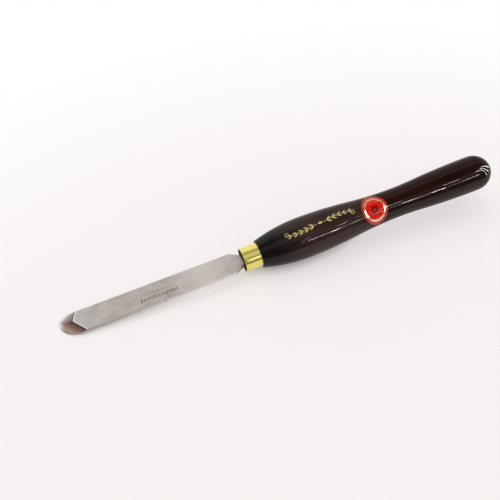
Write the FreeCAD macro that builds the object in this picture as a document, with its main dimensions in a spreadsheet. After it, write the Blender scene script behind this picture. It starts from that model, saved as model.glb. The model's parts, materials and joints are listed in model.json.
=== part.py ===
import FreeCAD, Part
import math
import os

import Sketcher

# Round nose scraper for woodturning.
# A flat steel bar, ground to a round nose, tapers to a tang that is set in
# the bore of a turned wooden handle. A brass ferrule keeps the handle from
# splitting, and a printed label is wrapped round the handle's waist.
#
# Every piece is drawn on the tool's own axis: X runs from the nose tip to the
# butt, Y to the blade's far side and Z out of its upper face. One placement
# then lays all of them down as the tool lies on a bench, on its nose and belly.

# Driving dimensions, in millimetres and degrees
SIZES = [
    # The bar: 3/4 x 1/8 inch flat stock
    ("blade_width", 19.05),
    ("blade_thickness", 3.2),
    ("blade_reach", 146.7),
    ("shoulder_length", 8.6),
    ("neck_width", 8.9),
    ("edge_break", 0.25),
    # The tang, flattened and drawn down inside the handle
    ("tang_length", 63.0),
    ("tang_end_width", 6.5),
    ("tang_end_thickness", 2.0),
    ("taper_start_gap", 1.0),
    # The nose in plan, ground by hand and fuller on the far side
    ("tip_offset", 4.9),
    ("nose_radius", 13.0),
    ("nose_turn_angle", 60.5),
    ("near_radius", 24.0),
    ("far_radius", 4.5),
    ("run_out_angle", 9.0),
    # Two hollow-ground facets that meet the upper face in a V
    ("facet_setback", 11.5),
    ("facet_offset", 1.85),
    ("near_facet_skew_angle", 37.7),
    ("far_facet_skew_angle", 23.7),
    ("near_facet_slope_angle", 14.5),
    ("far_facet_slope_angle", 11.0),
    ("wheel_radius", 100.0),
    # The steep rim under the facets, ground round the nose
    ("rim_slope_angle", 47.0),
    ("rim_turn_angle", 48.0),
    # The ferrule: a short length of brass tube
    ("ferrule_diameter", 19.7),
    ("ferrule_wall", 0.9),
    ("ferrule_length", 13.7),
    ("ferrule_edge", 0.2),
    # The handle, turned from one blank
    ("spigot_recess", 2.2),
    ("spigot_clearance", 0.03),
    ("shoulder_diameter", 22.2),
    ("shoulder_round", 0.7),
    ("belly_diameter", 33.55),
    ("belly_at", 39.5),
    ("waist_diameter", 24.4),
    ("waist_at", 121.0),
    ("bulge_diameter", 29.8),
    ("bulge_from_butt", 17.0),
    ("handle_length", 211.6),
    ("butt_side_radius", 70.0),
    ("belly_share", 0.53),
    ("waist_share", 0.3),
    # The bore for the tang
    ("bore_diameter", 12.5),
    ("bore_end_gap", 4.0),
    ("drill_point_angle", 118.0),
    # The label on the waist
    ("label_at", 98.5),
    ("label_length", 22.6),
    ("label_width", 23.2),
    ("label_thickness", 0.12),
    ("label_clearance", 0.02),
    ("label_turn_angle", 31.5),
    # How far a cutting shape runs past the solid that it cuts
    ("overrun", 6.0),
]

# Values that follow from the driving dimensions
DERIVED = [
    ("half_width", "=blade_width / 2"),
    ("half_thickness", "=blade_thickness / 2"),
    ("shoulder_from", "=blade_reach - shoulder_length"),
    ("tang_end", "=blade_reach + tang_length"),
    ("taper_from", "=blade_reach - taper_start_gap"),
    ("ferrule_radius", "=ferrule_diameter / 2"),
    ("ferrule_bore", "=ferrule_radius - ferrule_wall"),
    ("handle_from", "=blade_reach + ferrule_length"),
    ("spigot_from", "=blade_reach + spigot_recess"),
    ("spigot_radius", "=ferrule_bore - spigot_clearance"),
    ("shoulder_radius", "=shoulder_diameter / 2"),
    ("bore_radius", "=bore_diameter / 2"),
    ("bore_to", "=tang_end + bore_end_gap"),
    ("bore_tip", "=bore_to + bore_radius / tan(drill_point_angle * 1deg / 2)"),
    # Stations and radii of the turned outline
    ("belly_x", "=handle_from + belly_at"),
    ("waist_x", "=handle_from + waist_at"),
    ("butt_x", "=handle_from + handle_length"),
    ("bulge_x", "=butt_x - bulge_from_butt"),
    ("belly_r", "=belly_diameter / 2"),
    ("waist_r", "=waist_diameter / 2"),
    ("bulge_r", "=bulge_diameter / 2"),
    # An arc from the shoulder that lies level at the belly
    ("belly_rise", "=belly_r - shoulder_radius"),
    ("front_arc", "=(belly_at^2 + belly_rise^2) / (2 * belly_rise)"),
    # Two arcs from belly to waist, and two from waist to bulge, each pair tangent
    ("waist_run", "=waist_at - belly_at"),
    ("waist_fall", "=belly_r - waist_r"),
    ("waist_arcs", "=(waist_run^2 + waist_fall^2) / (2 * waist_fall)"),
    ("belly_arc", "=waist_arcs * belly_share"),
    ("waist_arc", "=waist_arcs - belly_arc"),
    ("bulge_run", "=bulge_x - waist_x"),
    ("bulge_rise", "=bulge_r - waist_r"),
    ("bulge_arcs", "=(bulge_run^2 + bulge_rise^2) / (2 * bulge_rise)"),
    ("waist_rear_arc", "=bulge_arcs * waist_share"),
    ("bulge_arc", "=bulge_arcs - waist_rear_arc"),
    # A side arc and an end arc round the butt, the end arc centred on the axis
    ("butt_gap", "=butt_side_radius - bulge_from_butt"),
    ("butt_arc", "=(2 * butt_side_radius * bulge_r - bulge_from_butt^2 - bulge_r^2) / (2 * butt_gap)"),
    ("butt_share", "=butt_side_radius / (butt_side_radius - butt_arc)"),
    # How the tool lies: the line under the nose and the belly is made level
    ("lie_height", "=front_arc - belly_r + half_thickness"),
    ("lie_reach", "=sqrt(belly_x^2 + lie_height^2)"),
    ("lie_angle", "=asin(front_arc / lie_reach) - atan(lie_height / belly_x)"),
]

LIE = (
    "placement(vector(-Sizes.butt_x / 2 * cos(Sizes.lie_angle); 0;"
    " Sizes.half_thickness * cos(Sizes.lie_angle)); rotation(vector(0; 1; 0); -Sizes.lie_angle))"
)

doc = FreeCAD.newDocument("RoundNoseScraper")
sheet = doc.addObject("Spreadsheet::Sheet", "Sizes")
for row, (alias, content) in enumerate(SIZES + DERIVED, start=1):
    sheet.set("A%d" % row, str(content))
    sheet.setAlias("A%d" % row, alias)
doc.recompute()


def plane(body, role):
    """One of a body's own origin planes."""
    for feature in body.Origin.OriginFeatures:
        if feature.Role == role:
            return feature
    raise ValueError(role)


def new_body(name):
    return doc.addObject("PartDesign::Body", name)


def new_sketch(body, name, role, lift=None):
    """A sketch on an origin plane of its body, lifted off it by a formula if one is given."""
    sketch = body.newObject("Sketcher::SketchObject", name)
    sketch.AttachmentSupport = (plane(body, role), [""])
    sketch.MapMode = "FlatFace"
    if lift:
        sketch.setExpression("AttachmentOffset.Base.z", lift)
    doc.recompute()
    return sketch


def spot(sketch, formulas):
    """The point that a pair of formulas gives."""
    across, up = (float(sketch.evalExpression(text)) for text in formulas)
    return FreeCAD.Vector(across, up, 0)


def pin(sketch, curve, end, formulas, kinds=("DistanceX", "DistanceY")):
    """Ties a curve's point to the origin by the formulas of its two coordinates."""
    place = spot(sketch, formulas)
    for kind, formula, distance in zip(("DistanceX", "DistanceY"), formulas, (place.x, place.y)):
        if kind in kinds:
            constraint = Sketcher.Constraint(kind, -1, 1, curve, end, distance)
            index = sketch.addConstraint(constraint)
            sketch.setExpression("Constraints[%d]" % index, formula)


def arc_between(centre, start, finish):
    """The shorter arc, and the numbers of its ends at start and at finish."""
    radius = (start - centre).Length
    first = math.atan2(start.y - centre.y, start.x - centre.x)
    last = math.atan2(finish.y - centre.y, finish.x - centre.x)
    circle = Part.Circle(centre, FreeCAD.Vector(0, 0, 1), radius)
    if (last - first) % (2 * math.pi) < math.pi:
        return Part.ArcOfCircle(circle, first, last), 1, 2
    return Part.ArcOfCircle(circle, last, first), 2, 1


def draw_outline(sketch, start, segments):
    """A closed outline of lines and arcs. Each segment is the point that it ends at,
    and for an arc its centre and the centre's coordinate that is held: X or Y."""
    at = start
    ends = []
    for segment in segments:
        goal = segment[0]
        if len(segment) == 1:
            curve = sketch.addGeometry(Part.LineSegment(spot(sketch, at), spot(sketch, goal)))
            first, last = 1, 2
        else:
            centre, held = segment[1:]
            arc, first, last = arc_between(spot(sketch, centre), spot(sketch, at), spot(sketch, goal))
            curve = sketch.addGeometry(arc)
            pin(sketch, curve, 3, centre, ("Distance" + held,))
        pin(sketch, curve, last, goal)
        ends.append((curve, first, last))
        at = goal
    for (curve, first, last), (after, begin, finish) in zip(ends, ends[1:] + ends[:1]):
        sketch.addConstraint(Sketcher.Constraint("Coincident", curve, last, after, begin))
    doc.recompute()


def pad(body, sketch, name, length):
    """A sketch raised both ways from its plane."""
    feature = body.newObject("PartDesign::Pad", name)
    feature.Profile = sketch
    feature.setExpression("Length", length)
    feature.Midplane = True
    doc.recompute()
    return feature


def turn(body, sketch, name, kind="PartDesign::Revolution"):
    """A sketch turned a full circle about the tool's axis."""
    feature = body.newObject(kind, name)
    feature.Profile = sketch
    feature.ReferenceAxis = (sketch, ["H_Axis"])
    feature.Angle = 360
    doc.recompute()
    return feature


def must_shrink(before, after, name):
    """A cut that takes nothing away shows no error, so its volume is compared."""
    if not after < before:
        raise RuntimeError("%s cuts nothing" % name)


# Blade: the bar with its nose, shoulders and tang in plan
def nose_points():
    """The nose's three arcs, from the far side's run-out to the near side's."""
    swing = "Sizes.nose_turn_angle * 1deg"
    end = "Sizes.run_out_angle * 1deg"
    reach = "(Sizes.near_radius - Sizes.nose_radius)"
    far_centre = ("Sizes.far_radius", "Sizes.tip_offset")
    nose_centre = ("Sizes.nose_radius", "Sizes.tip_offset")
    near_centre = (
        "Sizes.nose_radius + %s * cos(%s)" % (reach, swing),
        "Sizes.tip_offset + %s * sin(%s)" % (reach, swing),
    )
    far_end = (
        "%s - Sizes.far_radius * sin(%s)" % (far_centre[0], end),
        "%s + Sizes.far_radius * cos(%s)" % (far_centre[1], end),
    )
    tip = ("0 * Sizes.nose_radius", "Sizes.tip_offset")
    joint = (
        "Sizes.nose_radius * (1 - cos(%s))" % swing,
        "Sizes.tip_offset - Sizes.nose_radius * sin(%s)" % swing,
    )
    near_end = (
        "%s - Sizes.near_radius * sin(%s)" % (near_centre[0], end),
        "%s - Sizes.near_radius * cos(%s)" % (near_centre[1], end),
    )
    return far_end, far_centre, tip, nose_centre, joint, near_centre, near_end


def blade_plan(sketch):
    """The blade seen from above, from the far side round the nose to the tang."""
    far_end, far_centre, tip, nose_centre, joint, near_centre, near_end = nose_points()
    slope = "tan(Sizes.run_out_angle * 1deg)"
    far_side = ("%s + (Sizes.half_width - (%s)) / %s" % (far_end[0], far_end[1], slope), "Sizes.half_width")
    near_side = (
        "%s + (Sizes.half_width + (%s)) / %s" % (near_end[0], near_end[1], slope),
        "-Sizes.half_width",
    )
    draw_outline(
        sketch,
        far_side,
        [
            (far_end,),
            (tip, far_centre, "Y"),
            (joint, nose_centre, "Y"),
            (near_end, near_centre, "X"),
            (near_side,),
            (("Sizes.shoulder_from", "-Sizes.half_width"),),
            (("Sizes.blade_reach", "-Sizes.neck_width / 2"),),
            (("Sizes.tang_end", "-Sizes.tang_end_width / 2"),),
            (("Sizes.tang_end", "Sizes.tang_end_width / 2"),),
            (("Sizes.blade_reach", "Sizes.neck_width / 2"),),
            (("Sizes.shoulder_from", "Sizes.half_width"),),
            (far_side,),
        ],
    )


def make_blank():
    """The blade before its nose is ground: bar and tapered tang."""
    body = new_body("BladeBlank")
    plan = new_sketch(body, "BladePlan", "XY_Plane")
    blade_plan(plan)
    bar = pad(body, plan, "Bar", "Sizes.blade_thickness")
    volume = bar.Shape.Volume

    # The tang loses thickness from just ahead of the ferrule to its end
    side = new_sketch(body, "TangTaper", "XZ_Plane")
    for sign in ("", "-"):
        foot = ("Sizes.taper_from", sign + "Sizes.half_thickness")
        low = ("Sizes.tang_end + Sizes.overrun", sign + "Sizes.tang_end_thickness / 2")
        high = ("Sizes.tang_end + Sizes.overrun", sign + "(Sizes.half_thickness + Sizes.overrun)")
        over = ("Sizes.taper_from", sign + "(Sizes.half_thickness + Sizes.overrun)")
        draw_outline(side, foot, [(low,), (high,), (over,), (foot,)])
    taper = body.newObject("PartDesign::Pocket", "TangTaperCut")
    taper.Profile = side
    taper.Midplane = True
    taper.setExpression("Length", "Sizes.blade_width + Sizes.overrun")
    doc.recompute()
    must_shrink(volume, taper.Shape.Volume, "tang taper")

    # The long edges of the bar and its shoulders are broken by a small chamfer
    half_thickness = float(sheet.half_thickness)
    shoulder_from = float(sheet.shoulder_from)
    near = 1e-6
    names = []
    for number, edge in enumerate(taper.Shape.Edges, start=1):
        box = edge.BoundBox
        on_face = min(abs(box.ZMin - half_thickness), abs(box.ZMin + half_thickness)) < near
        flat = box.ZLength < near
        side_edge = box.YLength < near and box.XMax < shoulder_from + near
        if on_face and flat and side_edge:
            names.append("Edge%d" % number)
    volume = taper.Shape.Volume
    chamfer = body.newObject("PartDesign::Chamfer", "EdgeBreak")
    chamfer.Base = (taper, names)
    chamfer.setExpression("Size", "Sizes.edge_break")
    doc.recompute()
    must_shrink(volume, chamfer.Shape.Volume, "edge break")
    return body


def wheel(name, side, skew, slope):
    """A grinding wheel that enters the upper face along one arm of the V. Side is 1
    where the arm runs to the far side, and -1 where it runs to the near side."""
    cylinder = doc.addObject("Part::Cylinder", name)
    cylinder.setExpression("Radius", "Sizes.wheel_radius")
    cylinder.setExpression("Height", "2 * (Sizes.blade_width + Sizes.overrun)")
    ahead = ("-cos(%s * 1deg)" % skew, "%d * sin(%s * 1deg)" % (side, skew))
    along = ("sin(%s * 1deg)" % skew, "%d * cos(%s * 1deg)" % (side, skew))
    back = "(Sizes.blade_width + Sizes.overrun)"
    step = "Sizes.wheel_radius * sin(%s * 1deg)" % slope
    cylinder.setExpression(
        "Placement",
        "placement(vector("
        "Sizes.facet_setback + %s * %s - %s * %s; " % (step, ahead[0], back, along[0])
        + "Sizes.facet_offset + %s * %s - %s * %s; " % (step, ahead[1], back, along[1])
        + "Sizes.half_thickness + Sizes.wheel_radius * cos(%s * 1deg)); " % slope
        + "rotation(%d * (90deg - %s * 1deg); 90deg; 0deg))" % (side, skew),
    )
    return cylinder


def make_rim_cutter():
    """What the rim's steep grind takes off: a block round the nose, less a form whose
    sides lean in by the rim's slope from the lower face upward."""
    far_end, far_centre, tip, nose_centre, joint, near_centre, near_end = nose_points()
    turned = "Sizes.rim_turn_angle * 1deg"
    far_leave = (
        "Sizes.far_radius * (1 - sin(%s))" % turned,
        "Sizes.tip_offset + Sizes.far_radius * cos(%s)" % turned,
    )
    near_leave = (
        "Sizes.nose_radius * (1 - sin(%s))" % turned,
        "Sizes.tip_offset - Sizes.nose_radius * cos(%s)" % turned,
    )
    run = "2 * Sizes.blade_width"
    far_back = (run, "%s + (%s - (%s)) * tan(%s)" % (far_leave[1], run, far_leave[0], turned))
    near_back = (run, "%s - (%s - (%s)) * tan(%s)" % (near_leave[1], run, near_leave[0], turned))

    body = new_body("RimForm")
    outline = new_sketch(body, "RimOutline", "XY_Plane", "-Sizes.half_thickness")
    draw_outline(
        outline,
        far_back,
        [
            (far_leave,),
            (tip, far_centre, "Y"),
            (near_leave, nose_centre, "Y"),
            (near_back,),
            (far_back,),
        ],
    )
    form = body.newObject("PartDesign::Pad", "RimCone")
    form.Profile = outline
    form.setExpression("Length", "Sizes.blade_thickness")
    form.setExpression("TaperAngle", "-(90deg - Sizes.rim_slope_angle * 1deg)")
    doc.recompute()

    block = doc.addObject("Part::Box", "RimBlock")
    block.setExpression("Length", "Sizes.overrun + Sizes.blade_width")
    block.setExpression("Width", "Sizes.blade_width + 2 * Sizes.overrun")
    block.setExpression("Height", "Sizes.blade_thickness")
    block.setExpression(
        "Placement",
        "placement(vector(-Sizes.overrun; -Sizes.half_width - Sizes.overrun;"
        " -Sizes.half_thickness); rotation(0; 0; 0))",
    )
    cutter = doc.addObject("Part::Cut", "RimCutter")
    cutter.Base = block
    cutter.Tool = body
    doc.recompute()
    return cutter


def cut(base, tool, name):
    """The base less the tool, which has to take something away."""
    result = doc.addObject("Part::Cut", name)
    result.Base = base
    result.Tool = tool
    doc.recompute()
    must_shrink(base.Shape.Volume, result.Shape.Volume, name)
    return result


def make_blade():
    """Flat bar with a round nose, hollow-ground facets, a steep rim and a tang."""
    near_wheel = wheel("NearWheel", -1, "Sizes.near_facet_skew_angle", "Sizes.near_facet_slope_angle")
    far_wheel = wheel("FarWheel", 1, "Sizes.far_facet_skew_angle", "Sizes.far_facet_slope_angle")
    ground = cut(make_blank(), near_wheel, "NearFacet")
    ground = cut(ground, far_wheel, "FarFacet")
    return cut(ground, make_rim_cutter(), "Blade")


# Ferrule: a short brass tube round the handle's spigot
def make_ferrule():
    body = new_body("Ferrule")
    ring = new_sketch(body, "FerruleRing", "XZ_Plane")
    front = "Sizes.blade_reach"
    rear = "Sizes.handle_from"
    edge = "Sizes.ferrule_edge"
    draw_outline(
        ring,
        (front, "Sizes.ferrule_bore"),
        [
            ((front, "Sizes.ferrule_radius - " + edge),),
            ((front + " + " + edge, "Sizes.ferrule_radius"),),
            ((rear, "Sizes.ferrule_radius"),),
            ((rear, "Sizes.ferrule_bore"),),
            ((front, "Sizes.ferrule_bore"),),
        ],
    )
    turn(body, ring, "FerruleTube")
    return body


# Handle: the turned outline, with a spigot for the ferrule and a bore for the tang
def turned_arcs(lift):
    """The outline from the shoulder to the butt, moved out from the wood by a formula."""
    out = " + " + lift

    def radius(text):
        return text + out

    belly = ("Sizes.belly_x", radius("Sizes.belly_r"))
    waist = ("Sizes.waist_x", radius("Sizes.waist_r"))
    bulge = ("Sizes.bulge_x", radius("Sizes.bulge_r"))
    front_centre = ("Sizes.belly_x", "Sizes.belly_r - Sizes.front_arc")
    belly_centre = ("Sizes.belly_x", "Sizes.belly_r - Sizes.belly_arc")
    waist_centre = ("Sizes.waist_x", "Sizes.waist_r + Sizes.waist_arc")
    rear_centre = ("Sizes.waist_x", "Sizes.waist_r + Sizes.waist_rear_arc")
    bulge_centre = ("Sizes.bulge_x", "Sizes.bulge_r - Sizes.bulge_arc")
    belly_joint = (
        "Sizes.belly_x + Sizes.waist_run * (Sizes.belly_arc%s) / Sizes.waist_arcs" % out,
        "%s + (%s - (%s)) * (Sizes.belly_arc%s) / Sizes.waist_arcs"
        % (belly_centre[1], waist_centre[1], belly_centre[1], out),
    )
    waist_joint = (
        "Sizes.waist_x + Sizes.bulge_run * (Sizes.waist_rear_arc - (%s)) / Sizes.bulge_arcs" % lift,
        "%s - (%s - (%s)) * (Sizes.waist_rear_arc - (%s)) / Sizes.bulge_arcs"
        % (rear_centre[1], rear_centre[1], bulge_centre[1], lift),
    )
    return [
        (belly, front_centre, "X"),
        (belly_joint, belly_centre, "X"),
        (waist, waist_centre, "X"),
        (waist_joint, rear_centre, "X"),
        (bulge, bulge_centre, "X"),
    ]


def make_handle():
    body = new_body("Handle")
    half = new_sketch(body, "HandleOutline", "XZ_Plane")
    level = "0 * Sizes.belly_r"
    side_centre = ("Sizes.bulge_x", "Sizes.bulge_r - Sizes.butt_side_radius")
    end_centre = ("Sizes.butt_x - Sizes.butt_arc", level)
    butt_joint = (
        "Sizes.bulge_x + (%s - Sizes.bulge_x) * Sizes.butt_share" % end_centre[0],
        "(%s) * (1 - Sizes.butt_share)" % side_centre[1],
    )
    draw_outline(
        half,
        ("Sizes.spigot_from", level),
        [
            (("Sizes.spigot_from", "Sizes.spigot_radius"),),
            (("Sizes.handle_from", "Sizes.spigot_radius"),),
            (("Sizes.handle_from", "Sizes.shoulder_radius"),),
        ]
        + turned_arcs(level)
        + [
            (butt_joint, side_centre, "X"),
            (("Sizes.butt_x", level), end_centre, "Y"),
            (("Sizes.spigot_from", level),),
        ],
    )
    wood = turn(body, half, "HandleTurning")
    volume = wood.Shape.Volume

    # The bore is drilled from the spigot's end and finishes in the drill's point
    drill = new_sketch(body, "BoreOutline", "XZ_Plane")
    mouth = "Sizes.spigot_from - Sizes.overrun"
    draw_outline(
        drill,
        (mouth, level),
        [
            ((mouth, "Sizes.bore_radius"),),
            (("Sizes.bore_to", "Sizes.bore_radius"),),
            (("Sizes.bore_tip", level),),
            ((mouth, level),),
        ],
    )
    bore = turn(body, drill, "Bore", "PartDesign::Groove")
    must_shrink(volume, bore.Shape.Volume, "bore")

    # The sharp corner of the shoulder is rounded over
    shoulder_from = float(sheet.handle_from)
    shoulder_radius = float(sheet.shoulder_radius)
    near = 1e-4
    names = []
    for number, edge in enumerate(bore.Shape.Edges, start=1):
        box = edge.BoundBox
        at_shoulder = max(abs(box.XMin - shoulder_from), abs(box.XMax - shoulder_from)) < near
        if at_shoulder and abs(box.ZMax - shoulder_radius) < near:
            names.append("Edge%d" % number)
    volume = bore.Shape.Volume
    rounding = body.newObject("PartDesign::Fillet", "ShoulderRound")
    rounding.Base = (bore, names)
    rounding.setExpression("Radius", "Sizes.shoulder_round")
    doc.recompute()
    must_shrink(volume, rounding.Shape.Volume, "shoulder round")
    return body


# Tang bond: the set adhesive that fills the bore round the flat tang
def make_tang_bond(blade):
    body = new_body("BondPlug")
    plug = new_sketch(body, "BondOutline", "XZ_Plane")
    level = "0 * Sizes.bore_radius"
    draw_outline(
        plug,
        ("Sizes.spigot_from", level),
        [
            (("Sizes.spigot_from", "Sizes.bore_radius"),),
            (("Sizes.bore_to", "Sizes.bore_radius"),),
            (("Sizes.bore_tip", level),),
            (("Sizes.spigot_from", level),),
        ],
    )
    turn(body, plug, "BondFill")
    body.setExpression("Placement", LIE)
    doc.recompute()
    return cut(body, blade, "TangBond")


# Label: thin printed film wrapped round the near side of the waist
def make_label():
    body = new_body("LabelSleeve")
    band = new_sketch(body, "LabelSection", "XZ_Plane")
    inner = "Sizes.label_clearance"
    outer = "(Sizes.label_clearance + Sizes.label_thickness)"
    start = "Sizes.handle_from"
    drop = "Sizes.shoulder_radius"
    below = turned_arcs(inner)[:4]
    above = turned_arcs(outer)[:4]
    back = [(above[2][0], above[3][1], "X"), (above[1][0], above[2][1], "X")]
    back += [(above[0][0], above[1][1], "X")]
    back += [((start, "%s + %s" % (drop, outer)), above[0][1], "X")]
    draw_outline(
        band,
        (start, "%s + %s" % (drop, inner)),
        below + [(above[3][0],)] + back + [((start, "%s + %s" % (drop, inner)),)],
    )
    turn(body, band, "LabelBand")

    # An oval punch that points at the middle of the handle cuts the label's outline
    punch = new_body("LabelPunch")
    oval = new_sketch(punch, "LabelOval", "XY_Plane")
    centre = ("Sizes.handle_from + Sizes.label_at", "0 * Sizes.label_width")
    middle = spot(oval, centre)
    across = ("Sizes.label_width", float(sheet.label_width), FreeCAD.Vector(0, 1, 0), "Vertical")
    along = ("Sizes.label_length", float(sheet.label_length), FreeCAD.Vector(-1, 0, 0), "Horizontal")
    major, minor = (across, along) if across[1] > along[1] else (along, across)
    ends = [middle + direction * (size / 2) for formula, size, direction, held in (major, minor)]
    curve = oval.addGeometry(Part.Ellipse(ends[0], ends[1], middle))
    oval.exposeInternalGeometry(curve)
    pin(oval, curve, 3, centre)
    for line, (formula, size, direction, held) in enumerate((major, minor), start=curve + 1):
        index = oval.addConstraint(Sketcher.Constraint("Distance", line, size))
        oval.setExpression("Constraints[%d]" % index, formula)
    oval.addConstraint(Sketcher.Constraint(major[3], curve + 1))
    doc.recompute()
    press = punch.newObject("PartDesign::Pad", "LabelCut")
    press.Profile = oval
    press.setExpression("Length", "Sizes.belly_diameter")
    doc.recompute()
    punch.setExpression(
        "Placement",
        "placement(vector(0; 0; 0); rotation(vector(1; 0; 0); Sizes.label_turn_angle * 1deg))",
    )

    label = doc.addObject("Part::Common", "Label")
    label.Base = body
    label.Tool = punch
    doc.recompute()
    return label


blade = make_blade()
blade.setExpression("Placement", LIE)
PIECES = {
    "blade": blade,
    "ferrule": make_ferrule(),
    "handle": make_handle(),
    "tang_bond": make_tang_bond(blade),
    "label": make_label(),
}
for name, piece in PIECES.items():
    piece.Label = name
    if name != "tang_bond":
        piece.setExpression("Placement", LIE)
doc.recompute()

for thing in doc.Objects:
    if "Invalid" in thing.State or "Error" in thing.State:
        raise RuntimeError("%s failed: %s" % (thing.Label, thing.State))
for name, piece in PIECES.items():
    shape = piece.Shape
    if shape.isNull() or not shape.isValid():
        raise RuntimeError("%s has no valid shape" % name)
    if len(shape.Solids) != 1:
        raise RuntimeError("%s has %d solids" % (name, len(shape.Solids)))

os.makedirs("parts", exist_ok=True)
for name, piece in PIECES.items():
    piece.Shape.exportStep("parts/%s.step" % name)
    box = piece.Shape.optimalBoundingBox()
    print("%-10s %9.1f mm3   X %7.2f to %7.2f   Y %6.2f to %6.2f   Z %6.2f to %6.2f" % (
        name, piece.Shape.Volume, box.XMin, box.XMax, box.YMin, box.YMax, box.ZMin, box.ZMax))
print("lie angle %.3f degrees" % float(sheet.lie_angle))
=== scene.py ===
"""Round nose scraper for woodturning, laid on a pale floor under soft studio light.

The tool is a flat steel bar ground to a round nose, a brass ferrule, a turned and
lacquered hardwood handle, a printed label and a gilt scroll along the belly.

The CAD nodes blade, tang_bond and label keep their shapes and get new materials. The
ferrule and the handle are turned again as finer meshes in the places of their nodes.
Sizes are in metres. Outlines are drawn on the tool's own axis, where x runs from the
nose tip to the butt, and one matrix lays them down in the frame of the CAD parts.
"""

import json
import math

import bmesh
import bpy
from bpy.props import FloatProperty, FloatVectorProperty, IntProperty, PointerProperty
from mathutils import Matrix, Quaternion, Vector


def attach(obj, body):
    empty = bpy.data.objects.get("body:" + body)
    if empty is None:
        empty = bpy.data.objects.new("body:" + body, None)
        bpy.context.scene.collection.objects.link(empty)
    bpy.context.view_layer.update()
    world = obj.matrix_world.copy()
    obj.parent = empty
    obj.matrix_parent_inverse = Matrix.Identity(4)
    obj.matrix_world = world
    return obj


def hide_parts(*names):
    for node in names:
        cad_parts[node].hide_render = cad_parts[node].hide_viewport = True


bl_info = {
    "name": "Round Nose Scraper",
    "version": (1, 0, 0),
    "blender": (4, 5, 0),
    "location": "3D View > Sidebar > Scraper",
    "description": "Finishes a woodturning scraper's parts and sets them in a plain studio",
    "category": "Object",
}

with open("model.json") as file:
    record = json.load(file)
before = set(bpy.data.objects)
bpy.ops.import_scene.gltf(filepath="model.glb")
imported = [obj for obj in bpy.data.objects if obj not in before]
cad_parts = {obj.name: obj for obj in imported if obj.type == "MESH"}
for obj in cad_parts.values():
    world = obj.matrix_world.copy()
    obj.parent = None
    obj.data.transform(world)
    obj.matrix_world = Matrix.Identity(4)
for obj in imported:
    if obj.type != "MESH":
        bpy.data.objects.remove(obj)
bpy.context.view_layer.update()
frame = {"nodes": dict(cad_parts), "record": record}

MM = 0.001
TOOL_LENGTH = 372 * MM
BAR_THICKNESS = 3.2 * MM

# The mount under the blade gives the angle at which the tool lies
LIE_ANGLE = math.asin(frame["record"]["mounts"][0]["axis"][0])
LIE_SHIFT = Vector((-TOOL_LENGTH, 0, BAR_THICKNESS)) / 2 * math.cos(LIE_ANGLE)
LIE = Matrix.Translation(LIE_SHIFT) @ Matrix.Rotation(-LIE_ANGLE, 4, "Y")


def linear(ink):
    """An sRGB hex colour as the linear values that Blender takes."""
    shares = [int(ink[at : at + 2], 16) / 255 for at in (1, 3, 5)]
    return [s / 12.92 if s <= 0.04045 else ((s + 0.055) / 1.055) ** 2.4 for s in shares]


def length(name, about, value):
    return FloatProperty(
        name=name, description=about, default=value, min=0, unit="LENGTH", subtype="DISTANCE"
    )


def angle(name, about, degrees):
    turn = math.radians(degrees)
    return FloatProperty(
        name=name, description=about, default=turn, unit="ROTATION", subtype="ANGLE"
    )


def colour(name, about, ink):
    return FloatVectorProperty(
        name=name, description=about, default=linear(ink), min=0, max=1, subtype="COLOR"
    )


def number(name, about, value):
    return FloatProperty(name=name, description=about, default=value, min=0)


# Settings


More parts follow.
